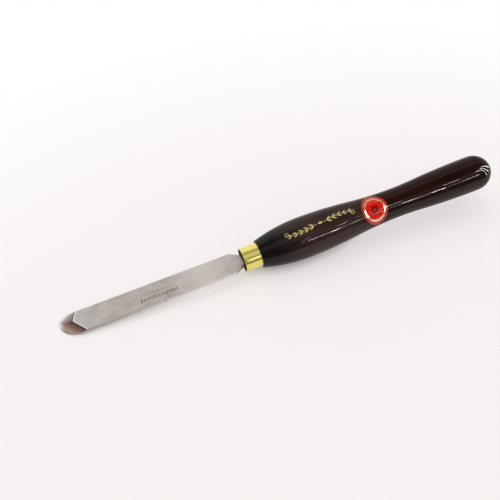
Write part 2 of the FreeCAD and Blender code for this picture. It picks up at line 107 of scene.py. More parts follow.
class BladeSettings(bpy.types.PropertyGroup):
    light: colour("Light steel", "Lightest patches of the linished faces", "#d8d0c9")
    middle: colour("Middle steel", "Body of the linished faces", "#cac2bb")
    dark: colour("Dark steel", "Darkest patches of the linished faces", "#bdb3ab")
    pale: colour("Pale steel", "Paler stretch ahead of the shoulders", "#e1dad3")
    cool: colour("Cool steel", "Grey of the upper face beside the V", "#cccace")
    # Rim colours follow the way the rim faces: painted shade on its sides, with temper brown on the
    # near side, and a painted highlight from the tip round to the far side
    rim_near_side_shade: colour("Rim, near side", "Brown rim on the near side of the nose", "#ae9b91")
    rim_near: colour("Rim, near", "Grey-brown rim between the near side and the tip", "#c4b6af")
    rim_tip: colour("Rim, tip", "Grey rim at the very tip", "#e6e2e2")
    rim_far: colour("Rim, far", "Bright rim between the tip and the far side", "#fbfaf9")
    rim_far_side_shade: colour("Rim, far side", "Dull rim on the far side of the nose", "#96908a")
    # Painted shade on the bar's narrow sides, lighter towards the shoulders and darker on the
    # neck's sides
    side: colour("Side steel", "Grey of the bar's narrow sides by the nose", "#b2adaa")
    side_pale: colour("Pale side steel", "Grey of the narrow sides by the shoulders", "#ddd8d6")
    neck: colour("Neck steel", "Darker sides of the neck", "#b5afa9")
    # Painted shadow on the neck inside the ferrule's mouth
    mouth: colour("Mouth", "Dark scale left on the neck inside the ferrule", "#3b352f")
    # Facet colours: temper colours mixed with a painted reflection of the room, dark by the V and
    # pale towards the edge and the tip
    near_root: colour("Near facet, root", "Temper colour beside the V", "#3a2c27")
    near_upper: colour("Near facet, upper", "Temper colour just past the V", "#5a453d")
    near_middle: colour("Near facet, middle", "Temper colour half way down the facet", "#836253")
    near_lower: colour("Near facet, lower", "Temper colour near the edge", "#9a7060")
    near_edge: colour("Near facet, edge", "Pinkish grey where the facet meets the rim", "#ab9c99")
    far_root: colour("Far facet, root", "Grey-brown of the far facet beside the V", "#826b60")
    far_upper: colour("Far facet, upper", "Brown-grey of the far facet", "#928479")
    far_middle: colour("Far facet, middle", "Grey of the far facet's middle", "#978f88")
    far_lower: colour("Far facet, lower", "Paler grey towards the edge", "#a7a19b")
    far_pale: colour("Far facet, pale", "Pale grey beside the far edge", "#c0bdb9")
    far_edge: colour("Far facet, edge", "Pale grey at the far edge", "#e2e0dc")
    tip: colour("Tip", "Grey of the near facet at the tip", "#9f9490")
    # Painted highlight round the tip
    tip_highlight: colour("Burr", "Pale metal that the last grind left round the tip", "#dfdcdd")
    # Painted highlight along the V
    arris_highlight: colour("Arris", "Bright line along the V", "#f6f4f1")
    stain: colour("Stain", "Specks on the faces", "#6f675e")
    etch: colour("Etching", "Lines of the etched scale", "#4b4744")
    line_spacing: length("Line spacing", "Distance between linishing lines", 0.6 * MM)
    setback: length("V setback", "From the nose tip to the point of the V", 11.5 * MM)
    offset: length("V offset", "From the middle of the bar to the point of the V", 1.85 * MM)
    near_skew: angle("Near skew", "Turn of the near arm of the V", 37.7)
    far_skew: angle("Far skew", "Turn of the far arm of the V", 23.7)
    near_slope: angle("Near slope", "Fall of the near facet at the V", 14.5)
    far_slope: angle("Far slope", "Fall of the far facet at the V", 11.0)
    wheel_radius: length("Wheel radius", "Radius of the hollow grind", 100 * MM)
    arris_width: length("Arris width", "Width of the bright line along the V", 0.4 * MM)
    scale_from: length("Scale from", "From the nose tip to the scale's first line", 63.4 * MM)
    scale_length: length("Scale length", "Length of the etched scale", 28 * MM)
    scale_pitch: length("Scale pitch", "Distance between the lines of the scale", 2 * MM)
    scale_line: length("Scale line", "Width of a line of the scale", 0.7 * MM)


class FerruleSettings(bpy.types.PropertyGroup):
    start: length("Start", "From the nose tip to the ferrule's mouth", 146.7 * MM)
    length: length("Length", "Length of the tube", 13.7 * MM)
    radius: length("Radius", "Outer radius of the tube", 9.85 * MM)
    wall: length("Wall", "Thickness of the tube's wall", 0.9 * MM)
    edge: length("Edge", "Rounding of the tube's front edge", 0.2 * MM)
    brass: colour("Brass", "Polished brass", "#f1e170")
    # Painted shade where the tube meets the wood's shoulder
    tarnish_and_shade: colour("Tarnish", "Brass that has dulled beside the wood", "#8f7a33")
    # Painted shade inside the tube and on the face of its mouth
    inside: colour("Inside", "Dark film in the tube and on its mouth", "#463c2f")


class HandleSettings(bpy.types.PropertyGroup):
    start: length("Start", "From the nose tip to the handle's shoulder", 160.4 * MM)
    spigot_start: length("Spigot start", "From the nose tip to the spigot's end", 148.9 * MM)
    spigot_radius: length("Spigot radius", "Radius of the spigot in the ferrule", 8.92 * MM)
    bore_radius: length("Bore radius", "Radius of the bore for the tang", 6.25 * MM)
    bore_end: length("Bore end", "From the nose tip to the end of the full bore", 213.7 * MM)
    bore_tip: length("Bore tip", "From the nose tip to the drill's point", 217.455 * MM)
    length: length("Length", "From the shoulder to the butt", 211.6 * MM)
    shoulder_radius: length("Shoulder radius", "Radius beside the ferrule", 11.1 * MM)
    shoulder_round: length("Shoulder rounding", "Rounding of the shoulder", 0.7 * MM)
    belly_at: length("Belly at", "From the shoulder to the belly", 39.5 * MM)
    belly_radius: length("Belly radius", "Largest radius of the front half", 16.775 * MM)
    waist_at: length("Waist at", "From the shoulder to the waist", 121 * MM)
    waist_radius: length("Waist radius", "Smallest radius", 12.2 * MM)
    bulge_from_butt: length("Bulge from butt", "From the butt to the rear bulge", 17 * MM)
    bulge_radius: length("Bulge radius", "Largest radius of the rear half", 14.9 * MM)
    butt_side_radius: length("Butt side radius", "Radius of the arc before the butt", 70 * MM)
    belly_share: number("Belly share", "Belly's part of the arcs between belly and waist", 0.53)
    waist_share: number("Waist share", "Waist's part of the arcs between waist and bulge", 0.3)
    sides: IntProperty(name="Sides", description="Steps round the axis", default=192, min=24)
    black: colour("Black stain", "Stain at the shoulder and in the pores", "#0c0705")
    # The belly's brown is the stain's tone with a painted sheen
    brown: colour("Brown stain", "Browner stain on the belly", "#33221e")
    red: colour("Red stain", "Red-black stain behind the label", "#200a05")
    bare: colour("Bare wood", "Unstained wood of the spigot in the ferrule", "#9a7a58")
    glow: colour("Heartwood", "Wood that glows through the stain in streaks", "#260b04")
    fleck: colour("Fleck", "Bright flecks of figure under the lacquer", "#9a4a22")
    grain_spacing: length("Grain spacing", "Distance between bands of grain", 2.2 * MM)
    pore_length: length("Pore length", "Length of the open pores", 7 * MM)


class ScrollSettings(bpy.types.PropertyGroup):
    start: length("Start", "From the nose tip to the scroll's root", 179.9 * MM)
    length: length("Length", "Length of the scroll", 64 * MM)
    start_turn: angle("Start turn", "Turn to the near side at the root", 19)
    end_turn: angle("End turn", "Turn to the near side at the tip", 7)
    pairs: IntProperty(name="Pairs", description="Pairs of leaves on each side", default=5, min=1)
    rise: length("Rise", "How far the stem bows to one side", 0.8 * MM)
    curl: length("Curl", "Radius of the curl at each end", 1.9 * MM)
    leaf: length("Leaf", "Length of a leaf", 4.4 * MM)
    leaf_turn: angle("Leaf turn", "Angle between a leaf and the stem", 42)
    stroke: length("Stroke", "Width of the stem", 0.45 * MM)
    thickness: length("Thickness", "Height of the paint over the lacquer", 0.05 * MM)
    gold: colour("Gold", "Gold paint", "#d9ca7e")


class LabelSettings(bpy.types.PropertyGroup):
    middle: length("Middle", "From the nose tip to the label's middle", 258.9 * MM)
    length: length("Length", "Length of the oval along the handle", 22.6 * MM)
    width: length("Width", "Width of the oval across the handle", 23.2 * MM)
    turn: angle("Turn", "Turn of the label to the near side", 31.5)
    red: colour("Red", "Printed red", "#d01505")
    border: colour("Border", "Printed red outside the foil line", "#b82a1e")
    foil: colour("Foil", "Gold foil", "#ead3aa")
    print: colour("Print", "Dark print", "#3a0906")


class StageSettings(bpy.types.PropertyGroup):
    floor: colour("Floor", "Pale paper sweep", "#f4efee")
    floor_size: length("Floor size", "Side of the floor", 12.0)
    fade_start: length("Fade start", "Where the floor starts to fade to white", 0.36)
    fade_end: length("Fade end", "Where the floor is white", 0.7)
    glow: number("Glow", "Share of the floor's light that the shadow leaves", 0.62)
    contact: length("Contact", "How far the tool darkens the paper beside it", 8 * MM)
    key: number("Key", "Strength of the soft key light", 0.6)
    lens: FloatProperty(name="Lens", description="Focal length", default=40.4, min=1, unit="CAMERA")
    camera_at: FloatVectorProperty(
        name="Camera",
        description="Place of the camera",
        default=(-0.13366, -0.24509, 0.36610),
        subtype="TRANSLATION",
        unit="LENGTH",
    )
    azimuth: angle("Azimuth", "Turn of the camera round the tool", -22.35)
    elevation: angle("Elevation", "Height of the camera over the horizon", 52.30)


# Nodes, materials and meshes


def pick(sockets, key):
    """A socket by its name, or by its number among those in use."""
    used = [socket for socket in sockets if socket.enabled]
    if isinstance(key, int):
        return used[key]
    return next(socket for socket in used if socket.name == key)


def feed(tree, node, inputs):
    """Gives a node's inputs a value, an output, or a whole node's first output."""
    for key, value in inputs.items():
        socket = pick(node.inputs, key)
        if isinstance(value, bpy.types.Node):
            value = pick(value.outputs, 0)
        if isinstance(value, bpy.types.NodeSocket):
            tree.links.new(value, socket)
        elif socket.type == "RGBA":
            socket.default_value = (*value[:3], 1)
        else:
            socket.default_value = value


def add(tree, kind, inputs=None, **settings):
    """Adds a node with its settings and feeds its inputs."""
    node = tree.nodes.new("ShaderNode" + kind)
    for name, value in settings.items():
        setattr(node, name, value)
    feed(tree, node, inputs or {})
    return node


def set_stops(ramp, stops):
    """Gives a colour ramp its (place, colour) stops."""
    elements = ramp.color_ramp.elements
    while len(elements) < len(stops):
        elements.new(1)
    for element, (place, shade) in zip(elements, stops):
        element.position = place
        element.color = (*shade[:3], 1)
    return ramp


def new_material(name):
    """An empty material, its node tree and its surface shader."""
    material = bpy.data.materials.new(name)
    material.use_nodes = True
    tree = material.node_tree
    return material, tree, tree.nodes["Principled BSDF"]


def tool_place(tree):
    """A point's place on the tool's own axes, in millimetres from the nose tip."""
    place = add(tree, "TexCoord").outputs["Object"]
    turn = LIE.to_euler()
    return add(
        tree,
        "Mapping",
        {"Vector": place, "Location": LIE.translation, "Rotation": turn, "Scale": (MM, MM, MM)},
        vector_type="TEXTURE",
    )


def stretch(tree, place, along, across):
    """Coordinates for a pattern whose features are this long and this wide, in metres."""
    scale = (MM / along, MM / across, MM / across)
    return add(tree, "Mapping", {"Vector": place, "Scale": scale})


def dress(node, material):
    """Gives a CAD node its new material."""
    mesh = frame["nodes"][node].data
    mesh.materials.clear()
    mesh.materials.append(material)


def arc(centre, start, end, steps):
    """Points along the shorter arc about centre, from start to end."""
    radius = math.dist(centre, start)
    first = math.atan2(start[1] - centre[1], start[0] - centre[0])
    last = math.atan2(end[1] - centre[1], end[0] - centre[0])
    turn = (last - first + math.pi) % (2 * math.pi) - math.pi
    turns = [first + turn * step / steps for step in range(steps + 1)]
    return [(centre[0] + radius * math.cos(t), centre[1] + radius * math.sin(t)) for t in turns]


def lathe(name, outline, sides, closed=False):
    """A piece turned from an outline of (along, radius) points. A point on the axis is
    one vertex, and a closed outline ends where it starts."""
    on_axis = 1e-9
    bm = bmesh.new()
    rings = []
    for along, radius in outline:
        if radius < on_axis:
            rings.append([bm.verts.new((along, 0, 0))] * sides)
            continue
        ring = []
        for side in range(sides):
            turn = 2 * math.pi * side / sides
            ring.append(bm.verts.new((along, radius * math.sin(turn), radius * math.cos(turn))))
        rings.append(ring)
    pairs = list(zip(rings, rings[1:]))
    if closed:
        pairs.append((rings[-1], rings[0]))
    for ring, following in pairs:
        for side in range(sides):
            after = (side + 1) % sides
            corners = [ring[side], ring[after], following[after], following[side]]
            bm.faces.new(list(dict.fromkeys(corners)))
    return finish_mesh(name, bm)


def finish_mesh(name, bm):
    """Lays a mesh drawn on the tool's axis down in the frame and makes its object."""
    bmesh.ops.recalc_face_normals(bm, faces=bm.faces)
    bmesh.ops.transform(bm, matrix=LIE, verts=bm.verts)
    mesh = bpy.data.meshes.new(name)
    bm.to_mesh(mesh)
    bm.free()
    mesh.shade_smooth()
    mesh.set_sharp_from_angle(angle=math.radians(35))
    piece = bpy.data.objects.new(name, mesh)
    bpy.context.scene.collection.objects.link(piece)
    return piece


def turned_outline(handle):
    """The outside of the handle as (along, radius) points, from the shoulder to the butt.
    Seven arcs, each tangent to the next, with the shoulder's corner rounded over."""
    butt = handle.start + handle.length
    shoulder = (handle.start, handle.shoulder_radius)
    belly = (handle.start + handle.belly_at, handle.belly_radius)
    waist = (handle.start + handle.waist_at, handle.waist_radius)
    bulge = (butt - handle.bulge_from_butt, handle.bulge_radius)

    rise = belly[1] - shoulder[1]
    front_arc = (handle.belly_at**2 + rise**2) / (2 * rise)
    front_centre = (belly[0], belly[1] - front_arc)

    run, fall = waist[0] - belly[0], belly[1] - waist[1]
    arcs = (run**2 + fall**2) / (2 * fall)
    belly_centre = (belly[0], belly[1] - arcs * handle.belly_share)
    waist_centre = (waist[0], waist[1] + arcs * (1 - handle.belly_share))
    belly_joint = Vector(belly_centre).lerp(Vector(waist_centre), handle.belly_share)

    run, rise = bulge[0] - waist[0], bulge[1] - waist[1]
    arcs = (run**2 + rise**2) / (2 * rise)
    rear_centre = (waist[0], waist[1] + arcs * handle.waist_share)
    bulge_centre = (bulge[0], bulge[1] - arcs * (1 - handle.waist_share))
    waist_joint = Vector(rear_centre).lerp(Vector(bulge_centre), handle.waist_share)

    side, near = handle.butt_side_radius, handle.bulge_from_butt
    end_arc = (2 * side * bulge[1] - near**2 - bulge[1] ** 2) / (2 * (side - near))
    side_centre = Vector((bulge[0], bulge[1] - side))
    end_centre = Vector((butt - end_arc, 0))
    butt_joint = side_centre + (end_centre - side_centre) * side / (side - end_arc)

    corner = handle.shoulder_round
    inner_arc = front_arc - corner
    corner_x = shoulder[0] + corner
    corner_y = front_centre[1] + math.sqrt(inner_arc**2 - (front_centre[0] - corner_x) ** 2)
    corner_centre = Vector((corner_x, corner_y))
    corner_start = (shoulder[0], corner_y)
    corner_end = Vector(front_centre).lerp(corner_centre, front_arc / inner_arc)
    legs = [
        arc(corner_centre, corner_start, corner_end, 6),
        arc(front_centre, corner_end, belly, 28),
        arc(belly_centre, belly, belly_joint, 28),
        arc(waist_centre, belly_joint, waist, 24),
        arc(rear_centre, waist, waist_joint, 16),
        arc(bulge_centre, waist_joint, bulge, 30),
        arc(side_centre, bulge, butt_joint, 12),
        arc(end_centre, butt_joint, (butt, 0), 28),
    ]
    return legs[0] + [point for leg in legs[1:] for point in leg[1:]]


# Materials. Places in them are in millimetres on the tool's own axes


# A face that looks further up than this is flat or a facet, and not the nose's rim
FLATTEST_RIM = 0.9
CLEAR_COAT = {"Coat Roughness": 0.05, "Coat IOR": 1.5}


def layer(tree, base, coats):
    """Lays colours over a base, each as far as its share says."""
    for share, ink in coats:
        base = add(tree, "Mix", {"Factor": share, "A": base, "B": ink}, data_type="RGBA")
    return base


def dimmed(tree, ink, light):
    """A colour, darkened by a share of light."""
    both = {"Factor": 1.0, "A": ink, "B": light}
    return add(tree, "Mix", both, data_type="RGBA", blend_type="MULTIPLY")


def linished_face(tree, place, parts, lines, look):
    """The flat faces: three greys in soft patches, cooler beside the V and paler ahead
    of the shoulders."""
    cool_end, cool_start = 27.0, 14.0
    pale_middle, pale_core, pale_reach = 115.0, 5.0, 24.0
    clouds = stretch(tree, place, 11 * MM, 6 * MM)
    clouds = add(tree, "TexNoise", {"Vector": clouds, "Scale": 1, "Detail": 3, "Roughness": 0.55})
    mottle = add(tree, "Math", {0: lines, 1: 0.2, 2: -0.1}, operation="MULTIPLY_ADD")
    mottle = add(tree, "Math", {0: mottle, 1: clouds}, operation="ADD")
    face = add(tree, "ValToRGB", {"Fac": mottle})
    set_stops(face, [(0.3, look.dark), (0.5, look.middle), (0.7, look.light)])
    cooling = add(tree, "MapRange", {0: parts["X"], 1: cool_end, 2: cool_start, 4: 0.85})
    paler = add(tree, "Math", {0: parts["X"], 1: pale_middle}, operation="SUBTRACT")
    paler = add(tree, "Math", {0: paler}, operation="ABSOLUTE")
    paler = add(tree, "MapRange", {0: paler, 1: pale_core, 2: pale_reach, 3: 0.9, 4: 0.0})
    return layer(tree, face, [(cooling, look.cool), (paler, look.pale)])


def ground_facets(tree, place, parts, look):
    """How far a point lies past the V, and its colour there. Temper colours mixed with a
    painted reflection of the room run from the V to the edge and fade to grey at the tip."""
    near_run = 10.0
    far_start, far_end = 5.0, 16.0
    far_lit = 3.0
    tip_start, tip_end = 6.0, 1.5
    nose_centre, tip_highlight_start, tip_highlight_end = (13.0, 4.9, 0.0), 9.4, 11.6
    tip_highlight_near, tip_highlight_far = -1.5, 2.5

    apex = Vector((look.setback, look.offset, 0)) / MM
    wheel = look.wheel_radius / MM
    arms = ((-1, look.near_skew, look.near_slope), (1, look.far_skew, look.far_slope))
    reaches, depths = [], []
    for side, skew, slope in arms:
        ahead = Vector((-math.cos(skew), side * math.sin(skew), 0))
        reach = add(tree, "VectorMath", {0: place, 1: ahead}, operation="DOT_PRODUCT")
        reach = {0: reach.outputs["Value"], 1: apex.dot(ahead)}
        reach = add(tree, "Math", reach, operation="SUBTRACT")
        fall = {0: reach, 1: -1 / (2 * wheel), 2: math.sin(slope)}
        fall = add(tree, "Math", fall, operation="MULTIPLY_ADD")
        depths.append(add(tree, "Math", {0: reach, 1: fall}, operation="MULTIPLY"))
        reaches.append(reach)
    past = add(tree, "Math", {0: reaches[0], 1: reaches[1]}, operation="MAXIMUM")

    near = add(tree, "ValToRGB", {"Fac": add(tree, "MapRange", {0: reaches[0], 2: near_run})})
    stops = [(0.03, look.near_root), (0.15, look.near_upper), (0.39, look.near_middle)]
    set_stops(near, stops + [(0.52, look.near_lower), (0.8, look.near_edge)])
    outward = {0: reaches[1], 1: 0.8, 2: parts["Y"]}
    outward = add(tree, "Math", outward, operation="MULTIPLY_ADD")
    outward = add(tree, "MapRange", {0: outward, 1: far_start, 2: far_end})
    far = add(tree, "ValToRGB", {"Fac": outward})
    stops = [(0.0, look.far_root), (0.27, look.far_upper), (0.45, look.far_middle)]
    stops += [(0.62, look.far_lower), (0.76, look.far_pale), (0.9, look.far_edge)]
    set_stops(far, stops)
    # Painted shade: the far facet darkens towards the V
    depth = add(tree, "MapRange", {0: reaches[1], 2: far_lit, 3: 0.75})
    far = dimmed(tree, far, depth)
    # The deeper facet is the one that shows
    deeper = add(tree, "Math", {0: depths[0], 1: depths[1]}, operation="SUBTRACT")
    near_rules = add(tree, "MapRange", {0: deeper, 1: -0.4, 2: 0.1})
    tip = add(tree, "MapRange", {0: parts["X"], 1: tip_start, 2: tip_end, 4: 0.9})
    tip = add(tree, "Math", {0: tip, 1: near_rules}, operation="MULTIPLY")
    # Painted highlight: paler round the tip
    radius = add(tree, "VectorMath", {0: place, 1: nose_centre}, operation="DISTANCE")
    tip_highlight = add(tree, "MapRange", {0: radius.outputs["Value"], 1: tip_highlight_start, 2: tip_highlight_end})
    upper = add(tree, "MapRange", {0: parts["Y"], 1: tip_highlight_near, 2: tip_highlight_far})
    tip_highlight = add(tree, "Math", {0: tip_highlight, 1: upper}, operation="MULTIPLY")
    return past, layer(tree, far, [(near_rules, near), (tip, look.tip), (tip_highlight, look.tip_highlight)])


def narrow_side(tree, parts, facing, look):
    """The bar's narrow sides: how far a point lies on one, and its colour. Their colour is
    painted shade: darker by the nose, less so towards the shoulders, and darker still on
    the sides of the neck."""
    pale_start, pale_end = 40.0, 120.0
    level = add(tree, "Math", {0: facing["Z"]}, operation="ABSOLUTE")
    upright = add(tree, "MapRange", {0: level, 1: 0.55, 2: 0.3})
    along = add(tree, "MapRange", {0: parts["X"], 1: pale_start, 2: pale_end})
    # Painted shade on the sides of the neck
    neck = add(tree, "MapRange", {0: facing["X"], 1: 0.25, 2: 0.4})
    return upright, layer(tree, look.side, [(along, look.side_pale), (neck, look.neck)])


def ground_rim(tree, place, parts, facing, look):
    """The coats of the steep rim round the nose, and pits in them. Its greys and browns
    follow the way the rim faces: painted shade on the near and far sides, with temper
    brown on the near side, and a painted highlight from the tip round to the far side."""
    rim_back, rim_front = 24.0, 16.0
    # Painted shade and highlight: the rim's colour follows the way it faces
    rim = add(tree, "ValToRGB", {"Fac": add(tree, "MapRange", {0: facing["Y"], 1: -1.0})})
    stops = [(0.14, look.rim_near_side_shade), (0.2, look.rim_near), (0.35, look.rim_near)]
    stops += [(0.42, look.rim_tip), (0.55, look.rim_tip), (0.65, look.rim_far)]
    set_stops(rim, stops + [(0.77, look.rim_far), (0.84, look.rim_far_side_shade)])
    steep = add(tree, "MapRange", {0: facing["Z"], 1: FLATTEST_RIM, 2: 0.8})
    front = add(tree, "MapRange", {0: parts["X"], 1: rim_back, 2: rim_front})
    steep = add(tree, "Math", {0: steep, 1: front}, operation="MULTIPLY")
    pits = stretch(tree, place, 1.6 * MM, 1.1 * MM)
    pits = add(tree, "TexNoise", {"Vector": pits, "Scale": 1, "Detail": 1})
    pits = add(tree, "MapRange", {0: pits, 1: 0.58, 2: 0.66, 4: 0.8})
    pits = add(tree, "Math", {0: pits, 1: steep}, operation="MULTIPLY")
    return [(steep, rim), (pits, look.stain)]


def specks_and_nicks(tree, place):
    """How dark a point is from specks all over the bar and a nick in each long edge."""
    nicks = ((80.3, -9.3, 0), (111.7, 9.2, 0))
    nick_core, nick_reach = 0.5, 1.0
    specks = stretch(tree, place, 9 * MM, 9 * MM)
    specks = add(tree, "TexVoronoi", {"Vector": specks, "Scale": 1}).outputs["Distance"]
    marks = add(tree, "MapRange", {0: specks, 1: 0.05, 2: 0.08, 3: 0.6, 4: 0.0})
    for nick in nicks:
        off = add(tree, "VectorMath", {0: place, 1: nick}, operation="DISTANCE").outputs["Value"]
        off = add(tree, "MapRange", {0: off, 1: nick_core, 2: nick_reach, 3: 0.9, 4: 0.0})
        marks = add(tree, "Math", {0: marks, 1: off}, operation="MAXIMUM")
    return marks


def etched_scale(tree, parts, look):
    """How dark the etched scale is: a row of lines, each fifth one longer, and a paler
    row of dots beside it."""
    lines_at, dots_at = -3.6, 0.7
    along = add(tree, "Math", {0: parts["X"], 1: look.scale_from / MM}, operation="SUBTRACT")
    half = look.scale_length / 2 / MM
    inside = add(tree, "Math", {0: along, 1: half, 2: half + 0.4}, operation="COMPARE")
    dark = None
    for pitch, middle, reach, depth in (
        (look.scale_pitch, lines_at, 1.2, 0.95),
        (look.scale_pitch * 5, lines_at, 1.9, 0.95),
        (look.scale_pitch, dots_at, 0.45, 0.5),
    ):
        step = add(tree, "Math", {0: along, 1: pitch / MM}, operation="DIVIDE")
        nearest = add(tree, "Math", {0: step}, operation="ROUND")
        off = add(tree, "Math", {0: step, 1: nearest}, operation="SUBTRACT")
        line = {0: off, 1: 0.0, 2: look.scale_line / pitch / 2}
        line = add(tree, "Math", line, operation="COMPARE")
        row = add(tree, "Math", {0: parts["Y"], 1: middle, 2: reach}, operation="COMPARE")
        line = add(tree, "Math", {0: line, 1: row}, operation="MULTIPLY")
        line = add(tree, "Math", {0: line, 1: depth}, operation="MULTIPLY")
        dark = add(tree, "Math", {0: dark, 1: line}, operation="MAXIMUM") if dark else line
    return add(tree, "Math", {0: dark, 1: inside}, operation="MULTIPLY")


def linished_steel(look):
    """High speed steel, linished along the bar and ground at the nose. It gives a warm
    satin grey in soft patches, narrow sides in painted shade that pales towards the
    shoulders, temper colours where the wheel ran hot mixed with a painted reflection on
    the facets, and painted highlights along the V and round the tip."""
    mouth_start, mouth_end = 146.2, 147.2
    material, tree, shader = new_material("Steel, linished and ground")
    place = tool_place(tree)
    parts = add(tree, "SeparateXYZ", {"Vector": place}).outputs
    facing = add(tree, "NewGeometry").outputs["Normal"]
    facing = add(tree, "SeparateXYZ", {"Vector": facing}).outputs
    faces_up = add(tree, "Math", {0: facing["Z"], 1: FLATTEST_RIM}, operation="GREATER_THAN")
    # Linishing lines are about 0.1 mm apart, drawn coarser so that they show
    lines = stretch(tree, place, 22 * MM, look.line_spacing)
    lines = add(tree, "TexNoise", {"Vector": lines, "Scale": 1, "Detail": 3})

    past, facets = ground_facets(tree, place, parts, look)
    ground = add(tree, "Math", {0: past, 1: 0.0}, operation="GREATER_THAN")
    ground = add(tree, "Math", {0: ground, 1: faces_up}, operation="MULTIPLY")
    # Painted highlight: a bright line along the arris of the V
    width = look.arris_width / MM
    arris_highlight = add(tree, "Math", {0: past}, operation="ABSOLUTE")
    arris_highlight = add(tree, "MapRange", {0: arris_highlight, 1: width / 2, 2: width, 3: 1.0, 4: 0.0})
    arris_highlight = add(tree, "Math", {0: arris_highlight, 1: faces_up}, operation="MULTIPLY")
    # Painted shadow where the bar goes into the ferrule's mouth
    mouth = add(tree, "MapRange", {0: parts["X"], 1: mouth_start, 2: mouth_end, 4: 0.9})
    scale = etched_scale(tree, parts, look)
    scale = add(tree, "Math", {0: scale, 1: faces_up}, operation="MULTIPLY")

    face = linished_face(tree, place, parts, lines, look)
    coats = [(ground, facets), narrow_side(tree, parts, facing, look)]
    coats += ground_rim(tree, place, parts, facing, look)
    coats += [(arris_highlight, look.arris_highlight), (specks_and_nicks(tree, place), look.stain)]
    coats += [(mouth, look.mouth), (scale, look.etch)]
    rough = add(tree, "Math", {0: lines, 1: 0.16, 2: 0.26}, operation="MULTIPLY_ADD")
    surface = {
        "Base Color": layer(tree, face, coats),
        # The oxide film on the facets dulls the metal
        "Metallic": add(tree, "Mix", {"Factor": ground, "A": 0.85, "B": 0.35}),
        "Roughness": add(tree, "Mix", {"Factor": scale, "A": rough, "B": 0.7}),
        "Normal": add(tree, "Bump", {"Strength": 0.25, "Distance": 0.02 * MM, "Height": lines}),
    }
    feed(tree, shader, surface)
    return material


def polished_brass(look):
    """Brass tube, polished on the lathe and lacquered: mirror bright and paler where the
    lacquer is seen aslant, with fine lines round it. Painted shade darkens it beside the
    wood's shoulder, over faint dull patches all along, and painted shade makes it dark
    inside and on the face of its mouth."""
    shade_band = 0.9
    material, tree, shader = new_material("Brass, polished tube")
    place = tool_place(tree)
    parts = add(tree, "SeparateXYZ", {"Vector": place}).outputs
    # Polishing lines are about 0.1 mm apart, drawn at 0.3 mm so that they show
    lines = stretch(tree, place, 0.3 * MM, 60 * MM)
    lines = add(tree, "TexNoise", {"Vector": lines, "Scale": 1, "Detail": 4})
    end = (look.start + look.length) / MM
    # Painted shade against the wood's shoulder, with faint dull patches all over
    dull_and_shade = add(tree, "MapRange", {0: parts["X"], 1: end - shade_band, 2: end, 4: 0.8})
    cloud = stretch(tree, place, 5 * MM, 5 * MM)
    cloud = add(tree, "TexNoise", {"Vector": cloud, "Scale": 1, "Detail": 2})
    dull_and_shade = add(tree, "Math", {0: cloud, 1: 0.12, 2: dull_and_shade}, operation="MULTIPLY_ADD")
    out = add(tree, "CombineXYZ", {"Y": parts["Y"], "Z": parts["Z"]})
    out = add(tree, "VectorMath", {0: out}, operation="LENGTH").outputs["Value"]
    rim = (look.radius - look.edge) / MM
    # Painted shade: dark inside the tube and on its mouth
    inside = add(tree, "MapRange", {0: out, 1: rim + 0.05, 2: rim - 0.1})
    rough = add(tree, "Math", {0: lines, 1: 0.04, 2: 0.04}, operation="MULTIPLY_ADD")
    surface = {
        "Base Color": layer(tree, look.brass, [(dull_and_shade, look.tarnish_and_shade), (inside, look.inside)]),
        "Metallic": 0.75,
        "Roughness": add(tree, "Mix", {"Factor": inside, "A": rough, "B": 0.5}),
        "Normal": add(tree, "Bump", {"Strength": 0.05, "Distance": 0.01 * MM, "Height": lines}),
    }
    feed(tree, shader, surface | {"Coat Weight": 1.0} | CLEAR_COAT)
    return material


